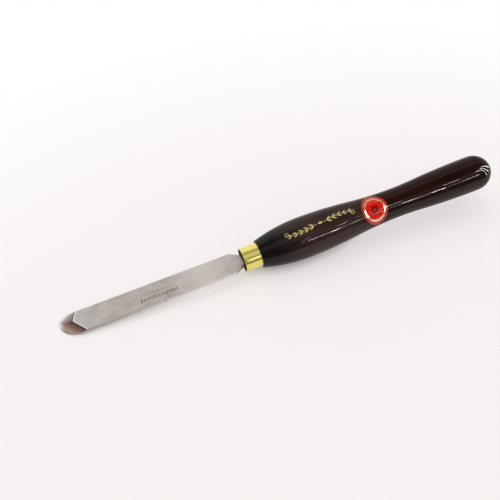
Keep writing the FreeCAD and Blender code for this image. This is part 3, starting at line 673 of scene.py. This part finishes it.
def lacquered_wood(look):
    """Dense hardwood, stained nearly black and lacquered to a gloss. Red heartwood shows
    through in streaks along the grain, and the lacquer ripples slightly, but not on the
    buffed butt. Only the lacquer mirrors, because it fills the wood under it, and half a
    coat keeps the mirrored room dark at the sides as in a thin worn film."""
    red_start, red_full = 190.0, 300.0
    flecks_start, flecks_full, flecks_wane, flecks_end = 205.0, 240.0, 262.0, 320.0
    buffed_start, buffed_full = 345.0, 355.0
    material, tree, shader = new_material("Hardwood, stained and lacquered")
    place = tool_place(tree)
    along = add(tree, "SeparateXYZ", {"Vector": place}).outputs["X"]

    # Nearly black at the shoulder, brown on the belly, and red-black from the label on. The belly's
    # brown is the stain's tone with a painted sheen
    shoulder = look.start / MM
    run = add(tree, "MapRange", {0: along, 1: shoulder, 2: shoulder + look.length / MM})
    stain = add(tree, "ValToRGB", {"Fac": run})
    between = [(dark + brown) / 2 for dark, brown in zip(look.black, look.brown)]
    stops = [(0.05, look.black), (0.12, between), (0.2, look.brown)]
    set_stops(stain, stops + [(0.4, look.brown), (0.48, look.red)])
    grain = stretch(tree, place, 70 * MM, look.grain_spacing)
    grain = add(tree, "TexNoise", {"Vector": grain, "Scale": 1, "Detail": 6, "Roughness": 0.6})
    depth = add(tree, "MapRange", {0: grain, 1: 0.35, 2: 0.65, 3: 0.6, 4: 1.35})

    streaks = stretch(tree, place, 120 * MM, 9 * MM)
    streaks = add(tree, "TexNoise", {"Vector": streaks, "Scale": 1, "Detail": 2})
    streaks = add(tree, "MapRange", {0: streaks, 1: 0.45, 2: 0.7, 4: 0.5})
    redder = add(tree, "MapRange", {0: along, 1: red_start, 2: red_full})
    redder = add(tree, "Math", {0: redder, 1: streaks}, operation="MULTIPLY")
    # Pores are 0.1 mm wide, drawn at 0.35 mm so that they show
    pores = stretch(tree, place, look.pore_length, 0.35 * MM)
    pores = add(tree, "TexNoise", {"Vector": pores, "Scale": 1, "Detail": 2})
    pores = add(tree, "MapRange", {0: pores, 1: 0.62, 2: 0.7, 4: 0.8})
    flecks = stretch(tree, place, 1.1 * MM, 0.5 * MM)
    flecks = add(tree, "TexNoise", {"Vector": flecks, "Scale": 1, "Detail": 1})
    flecks = add(tree, "MapRange", {0: flecks, 1: 0.7, 2: 0.78})
    for start, end, most in ((flecks_start, flecks_full, 0.6), (flecks_end, flecks_wane, 1.0)):
        reach = add(tree, "MapRange", {0: along, 1: start, 2: end, 4: most})
        flecks = add(tree, "Math", {0: flecks, 1: reach}, operation="MULTIPLY")
    spigot = add(tree, "Math", {0: along, 1: shoulder - 0.1}, operation="LESS_THAN")
    coats = [(redder, look.glow), (pores, look.black), (flecks, look.fleck), (spigot, look.bare)]

    ripple = stretch(tree, place, 12 * MM, 1.6 * MM)
    ripple = add(tree, "TexNoise", {"Vector": ripple, "Scale": 1, "Detail": 1})
    strength = {0: along, 1: buffed_start, 2: buffed_full, 3: 0.5, 4: 0.1}
    ripple = {
        "Strength": add(tree, "MapRange", strength),
        "Distance": 0.03 * MM,
        "Height": ripple,
    }
    surface = {
        "Base Color": layer(tree, dimmed(tree, stain, depth), coats),
        "Roughness": 0.45,
        "Specular IOR Level": 0.0,
        "Coat Weight": 0.5,
        "Coat Normal": add(tree, "Bump", ripple),
    }
    feed(tree, shader, surface | CLEAR_COAT)
    return material


def gold_paint(look):
    """Gold paint, drawn with a fine brush: a soft metallic sheen, uneven in depth."""
    material, tree, shader = new_material("Gold paint, brushed on")
    depth = stretch(tree, tool_place(tree), 1.5 * MM, 1.5 * MM)
    depth = add(tree, "TexNoise", {"Vector": depth, "Scale": 1, "Detail": 2})
    thin = [share * 0.62 for share in look.gold]
    surface = {
        "Base Color": layer(tree, thin, [(depth, look.gold)]),
        "Metallic": 0.2,
        "Roughness": 0.42,
        "Normal": add(tree, "Bump", {"Strength": 0.3, "Distance": 0.02 * MM, "Height": depth}),
    }
    feed(tree, shader, surface)
    return material


def printed_film(look):
    """Polyester film, printed red and hot-foiled in gold: glossy, with a metal line that
    mirrors the room."""
    ring_at, ring_half = 0.76, 0.06
    petals_count, petals_middle, petals_reach, eye_size = 8.0, 0.26, 0.1, 0.1
    material, tree, shader = new_material("Label film, printed and foiled")
    place = tool_place(tree)
    # A point's share of the way from the label's middle to its edge, and its bearing
    centre = {0: place, 1: (look.middle / MM, 0, 0)}
    centre = add(tree, "VectorMath", centre, operation="SUBTRACT")
    across = (0, math.cos(look.turn), math.sin(look.turn))
    across = add(tree, "VectorMath", {0: centre, 1: across}, operation="DOT_PRODUCT")
    across = {0: across.outputs["Value"], 1: look.width / 2 / MM}
    along = add(tree, "SeparateXYZ", {"Vector": centre}).outputs["X"]
    u = add(tree, "Math", {0: along, 1: look.length / 2 / MM}, operation="DIVIDE")
    v = add(tree, "Math", across, operation="DIVIDE")
    out = add(tree, "CombineXYZ", {"X": u, "Y": v})
    out = add(tree, "VectorMath", {0: out}, operation="LENGTH").outputs["Value"]
    turn = add(tree, "Math", {0: v, 1: u}, operation="ARCTAN2")

    foil = add(tree, "Math", {0: out, 1: ring_at, 2: ring_half}, operation="COMPARE")
    outside = add(tree, "Math", {0: out, 1: ring_at}, operation="GREATER_THAN")
    petals = add(tree, "Math", {0: turn, 1: petals_count}, operation="MULTIPLY")
    petals = add(tree, "Math", {0: petals}, operation="COSINE")
    petals = {0: petals, 1: petals_reach, 2: petals_middle}
    petals = add(tree, "Math", petals, operation="MULTIPLY_ADD")
    rosette = add(tree, "Math", {0: out, 1: petals}, operation="LESS_THAN")
    eye = add(tree, "Math", {0: out, 1: eye_size}, operation="GREATER_THAN")
    rosette = add(tree, "Math", {0: rosette, 1: eye}, operation="MULTIPLY")

    wear = stretch(tree, place, 0.9 * MM, 0.9 * MM)
    wear = add(tree, "TexNoise", {"Vector": wear, "Scale": 1, "Detail": 3})
    wear = add(tree, "MapRange", {0: wear, 1: 0.6, 2: 0.7, 3: 1.0, 4: 0.45})
    foil = add(tree, "Math", {0: foil, 1: wear}, operation="MULTIPLY")
    coats = [(outside, look.border), (rosette, look.print), (foil, look.foil)]
    surface = {
        "Base Color": layer(tree, look.red, coats),
        "Metallic": foil,
        "Roughness": add(tree, "Mix", {"Factor": foil, "A": 0.35, "B": 0.25}),
        "Specular IOR Level": 0.0,
        "Coat Weight": 1.0,
    }
    feed(tree, shader, surface | CLEAR_COAT)
    return material


def set_epoxy(look):
    """Epoxy that has set in the bore: dark, slightly glossy and lumpy."""
    material, tree, shader = new_material("Epoxy, set")
    lumps = stretch(tree, tool_place(tree), 1.2 * MM, 1.2 * MM)
    lumps = add(tree, "TexNoise", {"Vector": lumps, "Scale": 1, "Detail": 3})
    surface = {
        "Base Color": layer(tree, look.brown, [(lumps, look.bare)]),
        "Roughness": 0.4,
        "Normal": add(tree, "Bump", {"Strength": 0.6, "Distance": 0.2 * MM, "Height": lumps}),
    }
    feed(tree, shader, surface)
    return material


def paper_sweep(look):
    """Matt white paper. The camera sees it partly lit from inside, which keeps the tool's
    shadow faint, and it fades to plain white further off."""
    fade_middle = (0, -0.35, 0)
    material, tree, shader = new_material("Paper, matt white")
    fibres = add(tree, "TexNoise", {"Scale": 900.0, "Detail": 2})
    fibres = add(tree, "MapRange", {0: fibres, 3: 0.985, 4: 1.0})
    shade = dimmed(tree, look.floor, fibres)
    feed(tree, shader, {"Base Color": shade, "Roughness": 0.9, "Specular IOR Level": 0.1})
    place = add(tree, "NewGeometry").outputs["Position"]
    away = add(tree, "VectorMath", {0: place, 1: fade_middle}, operation="DISTANCE")
    away = {0: away.outputs["Value"], 1: look.fade_start, 2: look.fade_end, 3: look.glow}
    off = add(tree, "MapRange", away, interpolation_type="SMOOTHSTEP")
    path = add(tree, "LightPath").outputs
    seen = {0: path["Is Camera Ray"], 1: path["Is Glossy Ray"]}
    seen = add(tree, "Math", seen, operation="MAXIMUM")
    # Less of it is left right beside the tool
    open_sky = add(tree, "AmbientOcclusion", {"Distance": look.contact}, samples=12).outputs["AO"]
    seen = add(tree, "Math", {0: seen, 1: open_sky}, operation="MULTIPLY")
    share = add(tree, "Math", {0: off, 1: seen}, operation="MULTIPLY")
    paler = add(tree, "MapRange", {0: off, 1: look.glow})
    glow = layer(tree, look.floor, [(paler, (1, 1, 1))])
    glow = add(tree, "Emission", {"Color": glow, "Strength": 1.0})
    blend = add(tree, "MixShader", {0: share, 1: shader, 2: glow})
    tree.links.new(blend.outputs[0], tree.nodes["Material Output"].inputs["Surface"])
    return material


# Operators


class SCRAPER_OT_blade(bpy.types.Operator):
    """Give the blade its linished, ground and etched steel"""

    bl_idname = "scraper.blade"
    bl_label = "Blade"

    def execute(self, context):
        dress("blade", linished_steel(context.scene.scraper_blade))
        return {"FINISHED"}


class SCRAPER_OT_bond(bpy.types.Operator):
    """Give the adhesive round the tang its set epoxy"""

    bl_idname = "scraper.bond"
    bl_label = "Tang bond"

    def execute(self, context):
        dress("tang_bond", set_epoxy(context.scene.scraper_handle))
        return {"FINISHED"}


class SCRAPER_OT_ferrule(bpy.types.Operator):
    """Turn the brass ferrule, with both its front edges eased"""

    bl_idname = "scraper.ferrule"
    bl_label = "Ferrule"

    def execute(self, context):
        look = context.scene.scraper_ferrule
        front, rear = look.start, look.start + look.length
        outer, inner, ease = look.radius, look.radius - look.wall, look.edge
        outline = arc((front + ease, outer - ease), (front, outer - ease), (front + ease, outer), 5)
        steps = 12
        step_length = (rear - front - ease) / steps
        outline += [(front + ease + step_length * step, outer) for step in range(1, steps + 1)]
        outline += [(rear, inner), (front + ease / 2, inner), (front, inner + ease / 2)]
        ferrule = lathe("ferrule_tube", outline, context.scene.scraper_handle.sides, closed=True)
        ferrule.data.materials.append(polished_brass(look))
        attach(ferrule, "root")
        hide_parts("ferrule")
        return {"FINISHED"}


class SCRAPER_OT_handle(bpy.types.Operator):
    """Turn the handle, with its spigot and its bore"""

    bl_idname = "scraper.handle"
    bl_label = "Handle"

    def execute(self, context):
        look = context.scene.scraper_handle
        outline = [
            (look.bore_tip, 0),
            (look.bore_end, look.bore_radius),
            (look.spigot_start, look.bore_radius),
            (look.spigot_start, look.spigot_radius),
            (look.start, look.spigot_radius),
        ]
        outline += turned_outline(look)
        handle = lathe("turned_handle", outline, look.sides)
        handle.data.materials.append(lacquered_wood(look))
        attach(handle, "root")
        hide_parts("handle")
        return {"FINISHED"}


class SCRAPER_OT_label(bpy.types.Operator):
    """Print the label on the handle's waist"""

    bl_idname = "scraper.label"
    bl_label = "Label"

    def execute(self, context):
        dress("label", printed_film(context.scene.scraper_label))
        return {"FINISHED"}


class SCRAPER_OT_scroll(bpy.types.Operator):
    """Paint the gold scroll along the belly"""

    bl_idname = "scraper.scroll"
    bl_label = "Gold scroll"

    def execute(self, context):
        look = context.scene.scraper_scroll
        outline = turned_outline(context.scene.scraper_handle)
        bm = bmesh.new()
        for points, widths in scroll_strokes(look):
            paint_stroke(bm, points, widths, look, outline)
        scroll = finish_mesh("gold_scroll", bm)
        scroll.data.materials.append(gold_paint(look))
        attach(scroll, "root")
        return {"FINISHED"}


def scroll_strokes(look):
    """The ornament's strokes as flat points and widths: a lozenge between two dots, and
    on each side a bowed stem with pairs of leaves and a curl at its end."""
    lozenge_half, lozenge_width, lozenge_point = 2.4 * MM, 2.2 * MM, 0.1 * MM
    dot_at, dot_half, dot_width, dot_end = 3.9 * MM, 0.5 * MM, 1.0 * MM, 0.3 * MM
    stem_from = 5 * MM
    stem_steps, curl_steps, curl_turn = 24, 20, math.radians(400)
    middle = look.length / 2
    lozenge = [(middle + lozenge_half * t, 0) for t in (-1, 0, 1)]
    strokes = [(lozenge, [lozenge_point, lozenge_width, lozenge_point])]
    run = middle - stem_from - 2 * look.curl
    for way in (-1, 1):
        dot = [(middle + way * (dot_at + dot_half * t), 0) for t in (-1, 0, 1)]
        strokes.append((dot, [dot_end, dot_width, dot_end]))
        stem = []
        for step in range(stem_steps + 1):
            share = step / stem_steps
            bow = look.rise * way * math.sin(math.pi * share)
            stem.append((middle + way * (stem_from + run * share), bow))
        end = stem[-1]
        for step in range(1, curl_steps + 1):
            radius = look.curl * (1 - 0.65 * step / curl_steps)
            turn = curl_turn * step / curl_steps
            away = look.curl - radius * math.cos(turn)
            stem.append((end[0] + way * radius * math.sin(turn), end[1] - way * away))
        widths = [look.stroke * (1 - 0.3 * index / len(stem)) for index in range(len(stem))]
        strokes.append((stem, widths))
        for pair in range(look.pairs):
            root = stem[round(stem_steps * (pair + 0.3) / look.pairs)]
            reach = look.leaf * (1 - 0.06 * pair)
            for side in (-1, 1):
                leaf = []
                for share in (0, 0.25, 0.5, 0.75, 1):
                    turn = look.leaf_turn * (1.15 - 0.5 * share)
                    along, aside = reach * share * math.cos(turn), reach * share * math.sin(turn)
                    leaf.append((root[0] + way * along, root[1] + side * aside))
                strokes.append((leaf, [reach * w for w in (0.06, 0.2, 0.26, 0.2, 0.03)]))
    return strokes


def paint_stroke(bm, points, widths, look, outline):
    """Lays one stroke on the handle: crowned, and sunk a little into the lacquer."""
    crown = ((-0.5, -1.2), (-0.5, 0.4), (0, 1.0), (0.5, 0.4), (0.5, -1.2))
    centres = []
    for along, aside in points:
        share = along / look.length
        x = look.start + along
        radius = next(
            a[1] + (b[1] - a[1]) * (x - a[0]) / (b[0] - a[0])
            for a, b in zip(outline[6:], outline[7:])
            if a[0] <= x <= b[0]
        )
        turn = look.start_turn + (look.end_turn - look.start_turn) * share - aside / radius
        outward = Vector((0, -math.sin(turn), math.cos(turn)))
        centres.append((Vector((x, 0, 0)) + outward * radius, outward))
    rows = []
    for index, ((centre, outward), width) in enumerate(zip(centres, widths)):
        before = centres[max(index - 1, 0)][0]
        after = centres[min(index + 1, len(centres) - 1)][0]
        sideways = (after - before).cross(outward).normalized()
        row = []
        for across, lift in crown:
            corner = centre + sideways * width * across + outward * look.thickness * lift
            row.append(bm.verts.new(corner))
        rows.append(row)
    for row, following in zip(rows, rows[1:]):
        for step in range(len(crown)):
            after = (step + 1) % len(crown)
            bm.faces.new((row[step], row[after], following[after], following[step]))
    bm.faces.new(rows[0])
    bm.faces.new(reversed(rows[-1]))


# Lamps that only gloss and metal mirror: azimuth, elevation, length, width, lean, radiance
MIRRORED_STRIPS = [
    (36, 44, 0.22, 0.035, 0, 55),
    (17.2, 28.5, 0.37, 0.04, 0, 80),
    (22.6, 28.5, 0.19, 0.04, 0, 50),
    (26.2, 28.5, 0.17, 0.06, 0, 115),
    (30.4, 28.5, 0.36, 0.04, 0, 18),
    (36, 28.5, 0.21, 0.04, 0, 60),
    (9, 34, 0.15, 0.8, 0, 1.4),
    (14.5, 41, 0.25, 0.6, 0, 1.8),
    (55.5, 23.5, 2.7, 0.06, 101, 65),
    (69.5, 26.5, 2.9, 0.07, 105, 75),
    (85, 26, 3.05, 0.07, 107, 75),
]
STRIP_DISTANCE = 3.0

# The room in the gloss, as (degrees over the tool from the near horizon, grey)
MIRRORED_ROOM = [
    (0, 0.2),
    (40, 0.2),
    (52, 0.26),
    (57, 0.32),
    (63, 0.56),
    (72, 0.62),
    (84, 0.62),
    (95, 0.45),
    (101, 0.22),
    (111, 0.22),
    (118, 0.5),
    (124, 0.75),
    (132, 0.95),
    (160, 1.0),
]

# The same where the belly and the knob mirror it, further round to the right
MIRRORED_CORNER = [
    (0, 0.2),
    (30, 0.2),
    (42, 0.5),
    (57, 0.45),
    (63, 0.12),
    (103, 0.12),
    (109, 0.5),
    (114, 0.8),
    (119, 0.5),
    (127, 0.4),
    (150, 0.6),
]


KEY_FROM = Vector((-0.1, 0.45, 1))
KEY_SPREAD = math.radians(40)


def bearing(turn, lift):
    """The direction that lies this far round from the front and this high."""
    level = math.cos(lift)
    return Vector((math.sin(turn) * level, -math.cos(turn) * level, math.sin(lift)))


class SCRAPER_OT_stage(bpy.types.Operator):
    """Lay the floor, hang the lamps and set up the camera"""

    bl_idname = "scraper.stage"
    bl_label = "Studio"

    def execute(self, context):
        look = context.scene.scraper_stage
        scene = context.scene
        scene.view_settings.view_transform = "Standard"
        self.lay_floor(scene, look)
        self.hang_lamps(scene, look)
        self.light_room(scene)
        self.set_camera(scene, look)
        return {"FINISHED"}

    def lay_floor(self, scene, look):
        half = look.floor_size / 2
        mesh = bpy.data.meshes.new("floor")
        corners = [(-half, -half, 0), (half, -half, 0), (half, half, 0), (-half, half, 0)]
        mesh.from_pydata(corners, [], [(0, 1, 2, 3)])
        mesh.materials.append(paper_sweep(look))
        floor = bpy.data.objects.new("floor", mesh)
        scene.collection.objects.link(floor)

    def hang_lamps(self, scene, look):
        key = bpy.data.lights.new("key_light", "SUN")
        key.energy = look.key
        key.angle = KEY_SPREAD
        lamp = bpy.data.objects.new("key_light", key)
        lamp.rotation_euler = KEY_FROM.to_track_quat("Z", "Y").to_euler()
        lamp.visible_glossy = False
        scene.collection.objects.link(lamp)
        for index, place in enumerate(MIRRORED_STRIPS):
            azimuth, elevation, long_side, width, lean, radiance = place
            away = bearing(math.radians(azimuth), math.radians(elevation))
            strip = bpy.data.lights.new("strip_%d" % index, "AREA")
            strip.shape = "RECTANGLE"
            strip.size, strip.size_y = long_side, width
            strip.energy = radiance * math.pi * width * long_side
            lamp = bpy.data.objects.new("strip_%d" % index, strip)
            lamp.location = away * STRIP_DISTANCE
            turned = away.to_track_quat("Z", "Y") @ Quaternion((0, 0, 1), math.radians(lean))
            lamp.rotation_euler = turned.to_euler()
            lamp.visible_diffuse = False
            scene.collection.objects.link(lamp)

    def light_room(self, scene):
        """The room as the tool mirrors it: a pale backdrop behind, darker overhead and in
        front. The camera sees plain white."""
        world = bpy.data.worlds.new("studio")
        scene.world = world
        world.use_nodes = True
        tree = world.node_tree
        sky = add(tree, "TexCoord").outputs["Generated"]
        parts = add(tree, "SeparateXYZ", {"Vector": sky}).outputs
        front = add(tree, "Math", {0: parts["Y"], 1: -1.0}, operation="MULTIPLY")
        turn = add(tree, "Math", {0: parts["Z"], 1: front}, operation="ARCTAN2")
        height = add(tree, "Math", {0: turn, 1: math.pi}, operation="DIVIDE")
        walls = []
        for stops in (MIRRORED_ROOM, MIRRORED_CORNER):
            wall = add(tree, "ValToRGB", {"Fac": height})
            walls.append(set_stops(wall, [(degrees / 180, [grey] * 3) for degrees, grey in stops]))
        corner_start, corner_full = 0.14, 0.28
        corner = add(tree, "MapRange", {0: parts["X"], 1: corner_start, 2: corner_full})
        room = layer(tree, walls[0], [(corner, walls[1])])
        # Matt surfaces are lit by a plain pale room, a little darker at the front
        plain = add(tree, "MapRange", {0: turn, 2: math.radians(60), 3: 0.6, 4: 0.95})
        path = add(tree, "LightPath").outputs
        coats = [(path["Is Glossy Ray"], room), (path["Is Camera Ray"], (1, 1, 1))]
        shown = layer(tree, plain, coats)
        feed(tree, tree.nodes["Background"], {"Color": shown, "Strength": 1.0})

    def set_camera(self, scene, look):
        back = bearing(look.azimuth, look.elevation)
        camera = bpy.data.cameras.new("camera")
        camera.lens = look.lens
        viewer = bpy.data.objects.new("camera", camera)
        viewer.location = look.camera_at
        viewer.rotation_euler = (-back).to_track_quat("-Z", "Y").to_euler()
        scene.collection.objects.link(viewer)
        scene.camera = viewer


class SCRAPER_PT_panel(bpy.types.Panel):
    """Lists the steps that finish the scraper, with their sizes and colours"""

    bl_idname = "SCRAPER_PT_panel"
    bl_label = "Round Nose Scraper"
    bl_space_type = "VIEW_3D"
    bl_region_type = "UI"
    bl_category = "Scraper"

    def draw(self, context):
        for step in STEPS:
            self.layout.operator(step.bl_idname)
        for name, group in SETTINGS.items():
            box = self.layout.box()
            box.label(text=name.replace("scraper_", "").title())
            for prop in group.__annotations__:
                box.prop(getattr(context.scene, name), prop)


SETTINGS = {
    "scraper_blade": BladeSettings,
    "scraper_ferrule": FerruleSettings,
    "scraper_handle": HandleSettings,
    "scraper_scroll": ScrollSettings,
    "scraper_label": LabelSettings,
    "scraper_stage": StageSettings,
}
STEPS = [
    SCRAPER_OT_blade,
    SCRAPER_OT_bond,
    SCRAPER_OT_ferrule,
    SCRAPER_OT_handle,
    SCRAPER_OT_label,
    SCRAPER_OT_scroll,
    SCRAPER_OT_stage,
]


def register():
    for group in (*SETTINGS.values(), *STEPS, SCRAPER_PT_panel):
        bpy.utils.register_class(group)
    for name, group in SETTINGS.items():
        setattr(bpy.types.Scene, name, PointerProperty(type=group))


def unregister():
    for name in SETTINGS:
        delattr(bpy.types.Scene, name)
    for group in reversed((*SETTINGS.values(), *STEPS, SCRAPER_PT_panel)):
        bpy.utils.unregister_class(group)


def main():
    register()
    for name in ("blade", "bond", "ferrule", "handle", "label", "scroll", "stage"):
        getattr(bpy.ops.scraper, name)()


if __name__ == "__main__":
    main()
